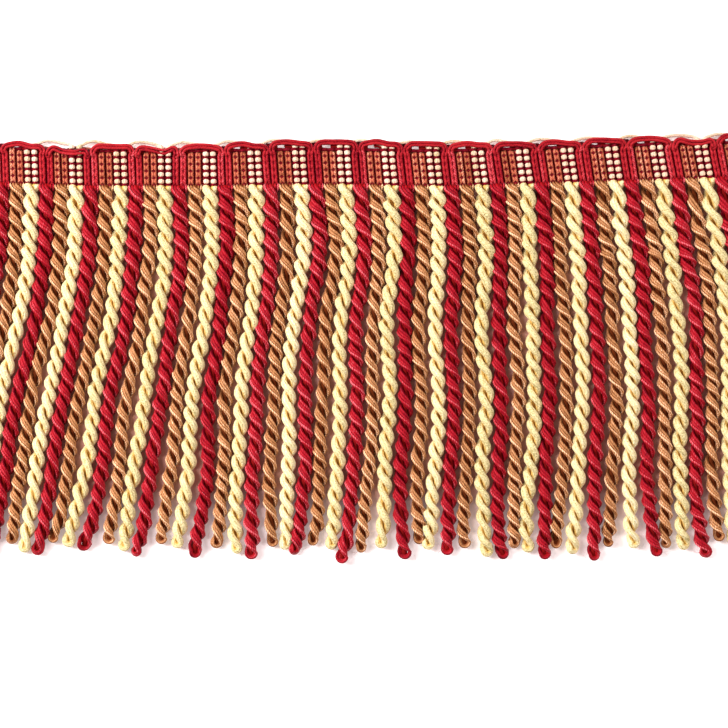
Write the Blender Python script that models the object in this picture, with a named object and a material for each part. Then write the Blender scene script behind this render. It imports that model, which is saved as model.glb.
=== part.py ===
"""A cut length of bullion fringe, lying flat on its back.

Three coloured wefts cross a narrow warp band. Each weft runs down the heading
as a leg, doubles back on itself as a hanging two-ply cord, climbs the heading
as a second leg and floats along the top edge to its next cord.
Lengths are in metres, +X runs along the heading, +Y up it and +Z off the back.
"""
import math
from collections import namedtuple

import bmesh
import bpy
from mathutils import Vector

MM = 0.001

# Driving sizes of the trimming
REPEAT = 16.0 * MM             # crimson, bronze and cream cord, side by side
REPEATS = 17
COLOURS_IN_REPEAT = 3
CORD_PITCH = REPEAT / COLOURS_IN_REPEAT
HALF_LENGTH = REPEAT * REPEATS / 2
BAND_HEIGHT = 12.7 * MM
BAND_THICKNESS = 0.9 * MM
BAND_MARGIN = 2.6 * MM         # past the middle of the first and last cord
GAP = 0.3 * MM                 # air between two pieces
END_COLUMN = 0.999             # share of the half length past which a band corner is at its end

# Weft legs in the heading
LEG_SPREAD = CORD_PITCH / 4    # each leg's distance from its cord's middle
LEG_WIDTH = 2.0 * MM
LEG_LOW = BAND_THICKNESS + GAP
LEG_HIGH = 3.3 * MM

# Hanging cords: two ridges, one for each ply, with a groove on either side
RIDGE_RADIUS = 2.45 * MM
GROOVE_RADIUS = 1.6 * MM
TIP_SCALE = 0.6                # the looped end is narrower than the cord
TWIST_STEP = 4.65 * MM         # length of cord in which the plies make a quarter turn
SHOULDER_DEPTH = BAND_HEIGHT / 2 + 0.25 * MM   # where two legs meet in one cord

BEND_RADIUS = 1.2 * MM         # of a weft where it turns at the top edge

# How deep below the middle of the band each sideways reading is taken
LEAN_DEPTHS = (29.0 * MM, 54.0 * MM, 82.5 * MM, 109.5 * MM)

# One row for each crimson cord, left to right, in millimetres.
# rise: how far the band bends up.  root: how far the legs slant by the band's lower edge.
# lean_a to lean_d: how far the cords stand to the right at the four LEAN_DEPTHS.
# lean_tip: the same at their ends.  loop: the crimson loop's height over the band.
Course = namedtuple("Course", "rise root lean_a lean_b lean_c lean_d lean_tip loop")
COURSES = (
    Course(1.0, 0.5, -0.5, -4.5, -11.0, -15.5, -20.0, 1.0),
    Course(0.5, 0.5, -0.5, -4.0, -10.5, -14.5, -19.5, -0.5),
    Course(0.0, 0.5, -0.5, -4.0, -10.0, -14.0, -19.0, 1.0),
    Course(0.0, 0.5, -0.5, -3.5, -9.0, -12.0, -17.0, 0.0),
    Course(0.0, 0.0, 0.5, -2.5, -6.5, -10.5, -15.5, 1.0),
    Course(0.0, 0.5, 1.0, -1.5, -5.5, -6.5, -10.5, 1.5),
    Course(0.5, 1.0, 1.0, -2.0, -4.5, -5.5, -6.0, 2.0),
    Course(0.5, 1.0, 2.5, -1.5, -3.0, -3.5, -6.0, 2.0),
    Course(0.5, 1.0, 2.0, -0.5, -0.5, -2.0, -6.0, 2.0),
    Course(0.0, 1.5, 2.0, 0.0, 1.0, -1.0, 1.0, 2.0),
    Course(0.0, 1.5, 2.5, 1.0, 2.5, 1.0, -0.5, 1.5),
    Course(0.5, 2.0, 3.0, 2.0, 3.5, 2.0, 2.5, 1.0),
    Course(1.0, 2.0, 3.0, 4.0, 4.5, 3.0, 1.5, 1.0),
    Course(1.5, 2.0, 3.5, 5.5, 6.0, 4.5, 4.0, 1.5),
    Course(2.0, 2.0, 4.5, 6.5, 8.0, 7.5, 9.5, 1.5),
    Course(2.5, 2.5, 5.5, 8.5, 9.0, 9.0, 11.5, 0.0),
    Course(3.0, 2.5, 6.5, 9.5, 10.5, 10.5, 12.0, 1.5),
    Course(3.0, 2.5, 7.0, 10.0, 11.0, 11.0, 12.5, 1.0),
)

# One row for each repeat, in millimetres: how deep the three cords' ends hang
# and how far the bronze and the cream end stray from their neighbours' lean.
Tips = namedtuple("Tips", "crimson bronze cream bronze_stray cream_stray")
TIPS = (
    Tips(138.5, 135.0, 136.5, 0.0, 0.0),
    Tips(138.5, 135.0, 137.5, 1.5, 0.5),
    Tips(139.0, 134.5, 135.5, 0.0, -1.0),
    Tips(137.5, 135.0, 137.0, 1.5, 1.0),
    Tips(139.5, 135.0, 136.0, 2.0, 0.5),
    Tips(140.0, 136.5, 138.0, 1.5, 1.0),
    Tips(140.5, 136.0, 136.5, 2.0, 1.5),
    Tips(139.0, 135.5, 136.5, 1.0, 1.5),
    Tips(142.0, 138.0, 136.0, -1.0, -1.5),
    Tips(140.5, 135.0, 136.5, -0.5, -1.0),
    Tips(139.0, 136.5, 139.0, -0.5, 0.5),
    Tips(140.5, 136.5, 137.5, 0.0, -0.5),
    Tips(140.5, 136.5, 138.0, -1.0, -2.0),
    Tips(141.0, 136.0, 136.0, -2.0, -0.5),
    Tips(139.5, 136.5, 136.5, -1.5, -1.5),
    Tips(140.0, 134.0, 134.5, -1.0, -0.5),
    Tips(140.0, 135.0, 135.5, 0.0, 0.0),
    Tips(139.0, 135.0, 135.5, 0.0, 0.0),
)

# Each weft's place in the repeat, its float along the top edge and its colour.
# rise: the float's middle over the band's upper edge.  low, high: its back and front.
# leg_low, leg_high: the same for its legs where they reach the top edge.
Weft = namedtuple("Weft", "name place rise width low high leg_low leg_high colour roughness")
WEFTS = (
    Weft("crimson_weft", 0, None, 1.9, 2.6, 4.0, 2.6, 4.0, (0.46, 0.012, 0.03), 0.45),
    Weft("bronze_weft", 1, 1.8, 1.5, 0.0, 0.8, 1.25, 1.75, (0.46, 0.20, 0.075), 0.45),
    Weft("cream_weft", 2, 3.1, 1.3, 1.2, 2.0, 1.25, 1.85, (0.93, 0.80, 0.42), 0.65),
)
WARP_COLOUR = (0.20, 0.006, 0.02)
WARP_ROUGHNESS = 0.6

Loop = namedtuple("Loop", "x y width low high")


def clear_scene():
    for scene_object in list(bpy.data.objects):
        bpy.data.objects.remove(scene_object, do_unlink=True)


def fibre_material(name, colour, roughness):
    material = bpy.data.materials.new(name)
    material.use_nodes = True
    shader = material.node_tree.nodes["Principled BSDF"]
    shader.inputs["Base Color"].default_value = (*colour, 1.0)
    shader.inputs["Roughness"].default_value = roughness
    shader.inputs["Metallic"].default_value = 0.0
    return material


def across(column, place):
    """A COURSES column in metres, read at a place counted in repeats."""
    first = min(max(int(place), 0), REPEATS - 1)
    share = place - first
    start = getattr(COURSES[first], column)
    end = getattr(COURSES[first + 1], column)
    return (start * (1 - share) + end * share) * MM


def rise_at(x):
    return across("rise", (x + HALF_LENGTH) / REPEAT)


def smooth(depths, values, depth):
    """A smooth curve through the values at the given depths."""
    index = sum(1 for station in depths[1:-1] if depth > station)
    slopes = []
    for i in range(len(depths)):
        before = max(i - 1, 0)
        after = min(i + 1, len(depths) - 1)
        slopes.append((values[after] - values[before]) / (depths[after] - depths[before]))
    span = depths[index + 1] - depths[index]
    t = (depth - depths[index]) / span
    start = (2 * t**3 - 3 * t**2 + 1) * values[index]
    start_slope = (t**3 - 2 * t**2 + t) * span * slopes[index]
    end = (3 * t**2 - 2 * t**3) * values[index + 1]
    end_slope = (t**3 - t**2) * span * slopes[index + 1]
    return start + start_slope + end + end_slope


class CordCourse:
    """Where one hanging cord runs, from the band's lower edge to its end."""

    def __init__(self, repeat, colour):
        place = repeat + colour / COLOURS_IN_REPEAT
        tips = TIPS[repeat]
        self.middle = place * REPEAT - HALF_LENGTH
        self.root = self.middle + across("root", place)
        self.rise = rise_at(self.middle)
        self.drop = (tips.crimson, tips.bronze, tips.cream)[colour] * MM
        stray = (0.0, tips.bronze_stray, tips.cream_stray)[colour] * MM
        self.depths = (SHOULDER_DEPTH, *LEAN_DEPTHS, self.drop)
        leans = [across(name, place) for name in ("root", "lean_a", "lean_b", "lean_c", "lean_d")]
        self.leans = (*leans, across("lean_tip", place) + stray)

    def x_at(self, depth):
        return self.middle + smooth(self.depths, self.leans, depth)


def flat_ring(bm, x, y, side, width, low, high):
    """Four corners of a strap: front left, front right, back right, back left."""
    reach = side * width / 2
    left = Vector((x, y)) - reach
    right = Vector((x, y)) + reach
    corners = ((left, high), (right, high), (right, low), (left, low))
    return [bm.verts.new((spot.x, spot.y, z)) for spot, z in corners]


def join_rings(bm, upper, lower):
    """Eight triangles between two rings, with their diagonals all one way."""
    for i in range(4):
        after = (i + 1) % 4
        bm.faces.new((upper[i], upper[after], lower[after]))
        bm.faces.new((upper[i], lower[after], lower[i]))


def cord_ring(bm, course, depth, quarter, scale=1.0):
    """One section of the cord: ridge, groove, ridge, groove, a quarter turn apart."""
    x = course.x_at(depth)
    ring = []
    for i in range(4):
        radius = (RIDGE_RADIUS, GROOVE_RADIUS)[i % 2] * scale
        angle = math.radians(90) * (i - quarter)
        z = RIDGE_RADIUS + radius * math.sin(angle)
        ring.append(bm.verts.new((x + radius * math.cos(angle), -depth, z)))
    return ring


def hang_cord(bm, course, quarter):
    """A two-ply cord below the heading. Returns the lower rings of its two legs."""
    y = course.rise - SHOULDER_DEPTH
    level = Vector((1, 0))
    left_leg = flat_ring(bm, course.root - LEG_SPREAD, y, level, LEG_WIDTH, LEG_LOW, LEG_HIGH)
    right_leg = flat_ring(bm, course.root + LEG_SPREAD, y, level, LEG_WIDTH, LEG_LOW, LEG_HIGH)
    steps = round((course.drop - SHOULDER_DEPTH) / TWIST_STEP)
    first_depth = SHOULDER_DEPTH + TWIST_STEP
    above = cord_ring(bm, course, first_depth, quarter)
    join_legs(bm, left_leg, right_leg, above, quarter)
    for step in range(2, steps):
        ring = cord_ring(bm, course, SHOULDER_DEPTH + step * TWIST_STEP, quarter + step - 1)
        join_rings(bm, above, ring)
        above = ring
    tip = cord_ring(bm, course, course.drop, quarter + steps - 1, TIP_SCALE)
    join_rings(bm, above, tip)
    bm.faces.new(tip)
    return left_leg, right_leg


def join_legs(bm, left_leg, right_leg, ring, quarter):
    """The shoulder where two square legs run into one twisted cord."""
    right, front, left, back = [ring[(i + quarter) % 4] for i in range(4)]
    front_edge = (left_leg[0], left_leg[1], right_leg[0], right_leg[1])
    back_edge = (right_leg[2], right_leg[3], left_leg[2], left_leg[3])
    for point, edge in ((front, front_edge), (back, back_edge)):
        for start, end in zip(edge, edge[1:]):
            bm.faces.new((point, start, end))
    bm.faces.new((front, left, front_edge[0]))
    bm.faces.new((left, back_edge[-1], front_edge[0]))
    bm.faces.new((left, back, back_edge[-1]))
    bm.faces.new((back, right, back_edge[0]))
    bm.faces.new((right, front_edge[-1], back_edge[0]))
    bm.faces.new((right, front, front_edge[-1]))
    bm.faces.new((left_leg[1], right_leg[0], right_leg[3], left_leg[2]))


def float_path(weft, start, end, repeat):
    """The way over the top edge, from one cord's right leg to the next one's left leg."""
    rise = COURSES[repeat].loop if weft.rise is None else weft.rise
    x_start = start.middle + LEG_SPREAD
    x_end = end.middle - LEG_SPREAD
    y = BAND_HEIGHT / 2 + rise * MM
    width = weft.width * MM
    low = weft.low * MM
    high = weft.high * MM
    leg_low = weft.leg_low * MM
    leg_high = weft.leg_high * MM
    path = [
        Loop(x_start, y - BEND_RADIUS, LEG_WIDTH, leg_low, leg_high),
        Loop(x_start + BEND_RADIUS, y, width, low, high),
        Loop((x_start + x_end) / 2, y, width, low, high),
        Loop(x_end - BEND_RADIUS, y, width, low, high),
        Loop(x_end, y - BEND_RADIUS, LEG_WIDTH, leg_low, leg_high),
    ]
    return [point._replace(y=point.y + rise_at(point.x)) for point in path]


def float_over(bm, leg, path, next_leg):
    """A strap from one leg, along the float, down to the next leg."""
    above = leg
    spots = [Vector((point.x, point.y)) for point in path]
    down = Vector((0, -1))
    for i, point in enumerate(path):
        arriving = (spots[i] - spots[i - 1]).normalized() if i else -down
        leaving = (spots[i + 1] - spots[i]).normalized() if i < len(path) - 1 else down
        ahead = (arriving + leaving).normalized()
        mitre = 1 / ahead.dot(arriving)
        side = Vector((ahead.y, -ahead.x))
        ring = flat_ring(bm, point.x, point.y, side, point.width * mitre, point.low, point.high)
        join_rings(bm, above, ring)
        above = ring
    left, right = next_leg[0], next_leg[1]
    back_right, back_left = next_leg[2], next_leg[3]
    join_rings(bm, above, [right, left, back_left, back_right])


def cut_leg(bm, weft, course, leg, side):
    """The outer leg at an end of the length, cut off level with the band."""
    x = course.middle + side * LEG_SPREAD
    y = BAND_HEIGHT / 2 + course.rise
    level = Vector((1, 0))
    ring = flat_ring(bm, x, y, level, LEG_WIDTH, weft.leg_low * MM, weft.leg_high * MM)
    join_rings(bm, leg, ring)
    bm.faces.new(ring)


def finish_piece(name, bm, collection, colour, roughness):
    bmesh.ops.recalc_face_normals(bm, faces=bm.faces)
    mesh = bpy.data.meshes.new(name)
    bm.to_mesh(mesh)
    bm.free()
    mesh.materials.append(fibre_material(name, colour, roughness))
    piece = bpy.data.objects.new(name, mesh)
    collection.objects.link(piece)
    return piece


def build_weft(weft, collection):
    """One continuous coloured weft with all its cords, legs and floats."""
    bm = bmesh.new()
    cords = REPEATS + 1 if weft.place == 0 else REPEATS
    courses = [CordCourse(repeat, weft.place) for repeat in range(cords)]
    legs = []
    for repeat, course in enumerate(courses):
        quarter = (repeat * COLOURS_IN_REPEAT + weft.place) % 2
        legs.append(hang_cord(bm, course, quarter))
    for repeat in range(cords - 1):
        path = float_path(weft, courses[repeat], courses[repeat + 1], repeat)
        float_over(bm, legs[repeat][1], path, legs[repeat + 1][0])
    cut_leg(bm, weft, courses[0], legs[0][0], -1)
    cut_leg(bm, weft, courses[-1], legs[-1][1], 1)
    return finish_piece(weft.name, bm, collection, weft.colour, weft.roughness)


def build_warp_band(collection):
    """The narrow band of warp threads behind the legs, bent as the heading is."""
    bm = bmesh.new()
    bmesh.ops.create_grid(bm, x_segments=REPEATS, y_segments=1, size=1.0)
    for vert in bm.verts:
        x = vert.co.x * HALF_LENGTH
        end = x + math.copysign(BAND_MARGIN, x) if abs(vert.co.x) > END_COLUMN else x
        vert.co = Vector((end, vert.co.y * BAND_HEIGHT / 2 + rise_at(x), 0.0))
    front = bmesh.ops.extrude_face_region(bm, geom=bm.faces[:])
    raised = [item for item in front["geom"] if isinstance(item, bmesh.types.BMVert)]
    bmesh.ops.translate(bm, verts=raised, vec=(0, 0, BAND_THICKNESS))
    return finish_piece("warp_band", bm, collection, WARP_COLOUR, WARP_ROUGHNESS)


def main():
    clear_scene()
    collection = bpy.data.collections.new("bullion_fringe")
    bpy.context.scene.collection.children.link(collection)
    build_warp_band(collection)
    for weft in WEFTS:
        build_weft(weft, collection)


main()
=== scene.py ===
"""The finished look of a cut length of bullion fringe, lying flat on its back.

Every weft is followed as the yarn that it is: up the heading as a leg, over the
top edge, down as the next leg and into a hanging cord of two plies with a loop
at its end. Lengths are in metres and the routes repeat those of the part's source.
"""

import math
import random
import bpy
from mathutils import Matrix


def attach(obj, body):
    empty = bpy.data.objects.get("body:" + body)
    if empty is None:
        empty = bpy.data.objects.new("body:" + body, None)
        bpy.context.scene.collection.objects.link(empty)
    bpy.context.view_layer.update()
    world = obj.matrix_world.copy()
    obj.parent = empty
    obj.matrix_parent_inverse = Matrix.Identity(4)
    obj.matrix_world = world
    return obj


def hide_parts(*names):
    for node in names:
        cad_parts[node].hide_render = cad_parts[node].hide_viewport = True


bl_info = {
    "name": "Bullion fringe",
    "version": (1, 0, 0),
    "blender": (4, 5, 0),
    "location": "3D View > Sidebar > Fringe",
    "description": "Builds a cut length of bullion fringe round its packed frame",
    "category": "Object",
}

from collections import namedtuple

import bmesh
import bpy
import numpy as np
from bpy.props import FloatProperty, FloatVectorProperty, PointerProperty
from mathutils import Vector

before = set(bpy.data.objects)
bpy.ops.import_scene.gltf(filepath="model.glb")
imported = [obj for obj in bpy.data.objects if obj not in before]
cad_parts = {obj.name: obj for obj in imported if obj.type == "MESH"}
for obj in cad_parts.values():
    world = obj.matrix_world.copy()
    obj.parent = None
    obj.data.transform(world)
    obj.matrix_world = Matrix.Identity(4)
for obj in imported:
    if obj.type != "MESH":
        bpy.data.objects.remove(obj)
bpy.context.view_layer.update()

MM = 0.001

# Sizes of the trimming, as in the part's source
REPEAT = 16.0 * MM             # crimson, bronze and cream cord, side by side
REPEATS = 17
COLOURS_IN_REPEAT = 3
HALF_LENGTH = REPEAT * REPEATS / 2
BAND_HEIGHT = 12.7 * MM
BAND_THICKNESS = 0.9 * MM
BAND_MARGIN = 2.6 * MM         # past the middle of the first and last cord
EDGE = BAND_HEIGHT / 2
LEG_SPREAD = REPEAT / COLOURS_IN_REPEAT / 4
SHOULDER_DEPTH = EDGE + 0.25 * MM
CORD_HEIGHT = 2.45 * MM        # of a cord's middle over the floor
FLOOR_GAP = 0.03 * MM          # least height of any yarn over the floor
LEAN_DEPTHS = (29.0 * MM, 54.0 * MM, 82.5 * MM, 109.5 * MM)

# One row for each crimson cord, left to right, in millimetres.
# rise: how far the band bends up.  root: how far the legs slant by the band's lower edge.
# lean_a to lean_d: how far the cords stand to the right at the four LEAN_DEPTHS.
# lean_tip: the same at their ends.  loop: the crimson loop's height over the band.
Course = namedtuple("Course", "rise root lean_a lean_b lean_c lean_d lean_tip loop")
COURSES = (
    Course(1.0, 0.5, -0.5, -4.5, -11.0, -15.5, -20.0, 1.0),
    Course(0.5, 0.5, -0.5, -4.0, -10.5, -14.5, -19.5, -0.5),
    Course(0.0, 0.5, -0.5, -4.0, -10.0, -14.0, -19.0, 1.0),
    Course(0.0, 0.5, -0.5, -3.5, -9.0, -12.0, -17.0, 0.0),
    Course(0.0, 0.0, 0.5, -2.5, -6.5, -10.5, -15.5, 1.0),
    Course(0.0, 0.5, 1.0, -1.5, -5.5, -6.5, -10.5, 1.5),
    Course(0.5, 1.0, 1.0, -2.0, -4.5, -5.5, -6.0, 2.0),
    Course(0.5, 1.0, 2.5, -1.5, -3.0, -3.5, -6.0, 2.0),
    Course(0.5, 1.0, 2.0, -0.5, -0.5, -2.0, -6.0, 2.0),
    Course(0.0, 1.5, 2.0, 0.0, 1.0, -1.0, 1.0, 2.0),
    Course(0.0, 1.5, 2.5, 1.0, 2.5, 1.0, -0.5, 1.5),
    Course(0.5, 2.0, 3.0, 2.0, 3.5, 2.0, 2.5, 1.0),
    Course(1.0, 2.0, 3.0, 4.0, 4.5, 3.0, 1.5, 1.0),
    Course(1.5, 2.0, 3.5, 5.5, 6.0, 4.5, 4.0, 1.5),
    Course(2.0, 2.0, 4.5, 6.5, 8.0, 7.5, 9.5, 1.5),
    Course(2.5, 2.5, 5.5, 8.5, 9.0, 9.0, 11.5, 0.0),
    Course(3.0, 2.5, 6.5, 9.5, 10.5, 10.5, 12.0, 1.5),
    Course(3.0, 2.5, 7.0, 10.0, 11.0, 11.0, 12.5, 1.0),
)

# One row for each repeat and one for the closing crimson cord, in millimetres: how deep
# the three cords' ends hang, and how far the bronze and the cream end stray from the
# lean of their neighbours.
Tips = namedtuple("Tips", "crimson bronze cream bronze_stray cream_stray")
TIPS = (
    Tips(138.5, 135.0, 136.5, 0.0, 0.0),
    Tips(138.5, 135.0, 137.5, 1.5, 0.5),
    Tips(139.0, 134.5, 135.5, 0.0, -1.0),
    Tips(137.5, 135.0, 137.0, 1.5, 1.0),
    Tips(139.5, 135.0, 136.0, 2.0, 0.5),
    Tips(140.0, 136.5, 138.0, 1.5, 1.0),
    Tips(140.5, 136.0, 136.5, 2.0, 1.5),
    Tips(139.0, 135.5, 136.5, 1.0, 1.5),
    Tips(142.0, 138.0, 136.0, -1.0, -1.5),
    Tips(140.5, 135.0, 136.5, -0.5, -1.0),
    Tips(139.0, 136.5, 139.0, -0.5, 0.5),
    Tips(140.5, 136.5, 137.5, 0.0, -0.5),
    Tips(140.5, 136.5, 138.0, -1.0, -2.0),
    Tips(141.0, 136.0, 136.0, -2.0, -0.5),
    Tips(139.5, 136.5, 136.5, -1.5, -1.5),
    Tips(140.0, 134.0, 134.5, -1.0, -0.5),
    Tips(140.0, 135.0, 135.5, 0.0, 0.0),
    Tips(139.0, 135.0, 135.5, 0.0, 0.0),
)

# How each colour's yarn is plied into a cord, in metres.
# turn: cord length of a half turn.  reach: a ply's middle from the cord's middle.
# yarns: how many lie side by side in a ply.  part: between the middles of two of them.
# wide, thick: half a yarn's size across and through the ply.
# eye: radius of the loop at the end.  lift: of the cord's middle over the others'.
# sides: of a yarn's tube.  early: radians that it has turned by the band's lower edge.
# rate, loose, wave: how uneven the twist, the plies' distance and the yarns' width are.
# taper, plump: how much thinner the yarns are at the cord's end and thicker near the band.
# heart: size of the dark core of painted shade between the plies, against the crimson one.
Cord = namedtuple("Cord", "turn reach yarns part wide thick eye lift sides early "
                          "rate loose wave taper plump heart")
CORDS = {
    "crimson": Cord(6.15 * MM, 1.79 * MM, 3, 0.94 * MM, 0.58 * MM, 0.70 * MM, 1.42 * MM,
                    0.0, 6, 0.55, 0.22, 0.05, 0.06, 0.20, 0.12, 1.0),
    "bronze": Cord(5.95 * MM, 1.74 * MM, 3, 0.88 * MM, 0.49 * MM, 0.61 * MM, 1.34 * MM,
                   0.0, 6, 0.85, 0.24, 0.05, 0.06, 0.20, 0.12, 1.0),
    "cream": Cord(6.0 * MM, 1.52 * MM, 1, 0.0, 1.26 * MM, 1.30 * MM, 1.16 * MM,
                  0.1 * MM, 16, 0.3, 0.13, 0.08, 0.08, 0.06, 0.1, 0.6),
}
FLATTENED = 0.88               # a lying cord's height as a share of its width
PLUMP = 0.12                   # how much wider apart the plies are near the band
PLUMP_SPAN = (14 * MM, 60 * MM)        # the depths over which a cord gets slimmer
PLACES = {"crimson": 0, "bronze": 1, "cream": 2}
BIG_EYES = {"crimson": (3, 8, 9), "bronze": (), "cream": ()}   # cords with a big loop
BIG_EYE = 1.35                 # its size against the others'
CORD_TUCK = 1.2 * MM           # how far up behind the warp a cord starts
RING_STEP = 0.96 * MM          # of cord length between two rings of a ply
HAIRS = 6                      # loose fibres of a cord
HAIR_RADIUS = 0.05 * MM
YARN_ROLL = math.radians(20)   # a ply's left edge stands up over its right one
END_ROLL = math.radians(42)    # the same for its inner edge at the cord's end
SHADE_CORE_WIDTH = 1.05 * MM        # half the width of the dark core of painted shade in a cord
SHADE_CORE_HEIGHT = 0.5 * MM
SHADE_PIECE_SIDES = 6
DEPTH_SCALE = 2.4 * MM         # distance from a cord's middle that counts as its surface, outside its painted shade

# The heading: warp stitches cross the legs in rows, measured up from the band's middle
ROW_PITCH = 2.45 * MM
FIRST_ROW = -5.6 * MM
ROWS = 6
STITCH_STEP = 0.33 * MM        # between two rings of a stitch
STITCH_WIDTH = 0.58 * MM       # half its size up the band
STITCH_HEIGHT = 0.28 * MM      # half its size off the floor
STITCH_DIP = 1.5 * MM          # its height over the floor between two legs
STITCH_TURN = 1.2 * MM         # how far it goes on past the last leg
STITCH_END = 1.3 * MM          # its height over the floor there
STITCH_DEPTH = 0.8             # how near it lies to the light, from 0 to 1
SHADED_DEPTH = 0.35            # the same of the dark thread on the top edge and of the notch pieces, which puts them partly in painted shade
LEG_HEIGHT = 2.3 * MM          # of a leg's middle over the floor
LEG_STEP = 0.28 * MM           # between two rings of a leg
LEG_FOOT = -SHOULDER_DEPTH + 0.35 * MM
LEG_TOP = EDGE - 1.6 * MM
END_LEG_TOP = EDGE + 0.6 * MM  # of the two legs at the length's ends
LEG_PRESS = 0.1                # millimetres that a leg's two yarns press into each other
CREAM_LEG = 1.02               # millimetres of radius between two stitches
CREAM_PINCH = 0.6              # and how much less it has under a stitch
PITS = {"crimson": 0.5, "bronze": 1.05}      # how far the stitches part a leg's two yarns

# Colours of the painted shade on the yarns' unlit insides, of the dark cores of painted shade
# between the plies, of the yarns' light fibres with their painted highlights, and of their
# dark fibres with the painted shade at their sides
HOLLOW_SHADES = {"crimson": (0.34, 0.005, 0.007), "bronze": (0.18, 0.035, 0.007),
           "cream": (0.68, 0.41, 0.09)}
HEADING_HOLLOW_SHADE = (0.09, 0.001, 0.003)
SHADE_CORES = {"crimson": (0.26, 0.004, 0.004), "bronze": (0.13, 0.022, 0.003),
          "cream": (0.26, 0.10, 0.012)}
HIGHLIGHTS_AND_LIGHT_FIBRES = {"crimson": (0.74, 0.14, 0.17), "bronze": (0.98, 0.60, 0.37),
          "cream": (0.97, 0.89, 0.64)}
SHADES = {"crimson": (0.12, 0.0, 0.006), "bronze": (0.14, 0.04, 0.01),
          "cream": (0.52, 0.42, 0.17)}
# Painted reflection: the red light that the close warp throws on the yarns in the heading, and
# to what share
HEADING_WARP_REFLECTIONS = {"crimson": (0.39, 0.016, 0.021), "bronze": (0.49, 0.082, 0.053),
                 "cream": (0.90, 0.54, 0.44)}
BODY_TINT = 0.8
LIGHT_TINT = 0.5
ROUGHNESSES = {"crimson": 0.42, "bronze": 0.42, "cream": 0.65}
# Depths in a cord between which its painted shade gives way to the yarn's own colour
HOLLOW_SHADE_SPANS = {"crimson": (0.3, 0.7), "bronze": (0.3, 0.7), "cream": (0.40, 0.80)}

# The stage, in metres, with the camera straight over the middle of the view
CAMERA_PLACE = (-5.86 * MM, -69.8 * MM, 0.7229 + 4 * MM)
CAMERA_LENS = 100.0            # in millimetres, as the next
CAMERA_FRAME = 36.0
FARTHEST = 20.0                # distance that the camera sees
FLOOR_HALF = 3.0
FLOOR_GLOW = 0.3               # painted light: the floor glows a little, which keeps the bare floor white and lightens the shadows on it
FLOOR_SHADE_COLOUR = (0.72, 0.37, 0.30)     # painted shade and painted reflected red light on the paper between the cords
# Where that painted shade fades out: at the sides, past the cords' ends and in the heading
FLOOR_SIDE = (0.134, 0.139)
FLOOR_SPLAY = 0.09             # how much further out for each metre down the cords
FLOOR_FOOT = (-0.136, -0.112)
FLOOR_HEAD = (0.0, 0.006)
# Each light's place, side and share of the key light's power
STUDIO_LIGHTS = {
    "key_light": ((-0.80, 0.22, 0.60), 0.5, 1.0),
    "fill_light": ((0.85, 0.20, 0.68), 0.5, 0.5),
    "top_light": ((-0.50, 0.16, 0.84), 0.24, 0.18),
}
STUDIO_AIM = (-0.006, -0.07, 0.0)
WORLD_COLOUR = (1.0, 0.86, 0.83)
WORLD_STRENGTH = 0.31

UP = (0.0, 0.0, 1.0)           # off the floor
HEADWARD = (0.0, 1.0, 0.0)     # along the floor, from the cords to the heading


def settings():
    """The sizes and colours that the panel shows."""
    return bpy.context.scene.fringe


# Reading the routes

def cord_count(colour):
    """One cord in each repeat, and a crimson one that closes the row."""
    return REPEATS + 1 if colour == "crimson" else REPEATS


def across(column, place):
    """A COURSES column in metres, read at a place counted in repeats."""
    first = min(max(int(place), 0), REPEATS - 1)
    share = place - first
    start = getattr(COURSES[first], column)
    end = getattr(COURSES[first + 1], column)
    return (start * (1 - share) + end * share) * MM


def rise_at(x):
    """How far the band bends up at x, for one number or an array."""
    places = (np.asarray(x) + HALF_LENGTH) / REPEAT
    rises = [course.rise * MM for course in COURSES]
    return np.interp(places, range(REPEATS + 1), rises)


def smooth(stations, values, at):
    """A smooth curve through the values at the given stations."""
    stations = np.asarray(stations, dtype=float)
    values = np.asarray(values, dtype=float)
    last = len(stations) - 1
    before = np.maximum(np.arange(last + 1) - 1, 0)
    after = np.minimum(np.arange(last + 1) + 1, last)
    slopes = (values[after] - values[before]) / (stations[after] - stations[before])
    index = np.clip(np.searchsorted(stations, at) - 1, 0, last - 1)
    span = stations[index + 1] - stations[index]
    t = (at - stations[index]) / span
    start = (2 * t**3 - 3 * t**2 + 1) * values[index]
    start_slope = (t**3 - 2 * t**2 + t) * span * slopes[index]
    end = (3 * t**2 - 2 * t**3) * values[index + 1]
    end_slope = (t**3 - t**2) * span * slopes[index + 1]
    return start + start_slope + end + end_slope


def ease(value, start, end):
    """0 before start, 1 after end and smooth between them."""
    t = np.clip((value - start) / (end - start), 0.0, 1.0)
    return t * t * (3 - 2 * t)


class CordCourse:
    """Where one hanging cord runs, from the band's lower edge to its end."""

    def __init__(self, repeat, colour):
        column = PLACES[colour]
        place = repeat + column / COLOURS_IN_REPEAT
        tips = TIPS[repeat]
        self.middle = place * REPEAT - HALF_LENGTH
        self.slant = across("root", place)
        self.rise = float(rise_at(self.middle))
        self.drop = (tips.crimson, tips.bronze, tips.cream)[column] * MM
        stray = (0.0, tips.bronze_stray, tips.cream_stray)[column] * MM
        self.depths = (SHOULDER_DEPTH, *LEAN_DEPTHS, self.drop)
        names = ("root", "lean_a", "lean_b", "lean_c", "lean_d")
        leans = [across(name, place) for name in names]
        self.leans = (*leans, across("lean_tip", place) + stray)

    def x_at(self, depth):
        below = self.middle + smooth(self.depths, self.leans, depth)
        return np.where(depth > SHOULDER_DEPTH, below, self.leg_x(depth))

    def leg_x(self, depth):
        """The legs' middle: straight at the top edge, slanted by the shoulder."""
        return self.middle + self.slant * (depth + EDGE) / (SHOULDER_DEPTH + EDGE)


# Geometry helpers

def unit(vectors):
    return vectors / np.linalg.norm(vectors, axis=1)[:, None]


def square_to(vectors, along):
    """The vectors made square to the directions along, and of length one."""
    return unit(vectors - np.sum(vectors * along, axis=1)[:, None] * along)


def same(direction, points):
    """The direction once for each of the points."""
    return np.broadcast_to(direction, points.shape)


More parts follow.
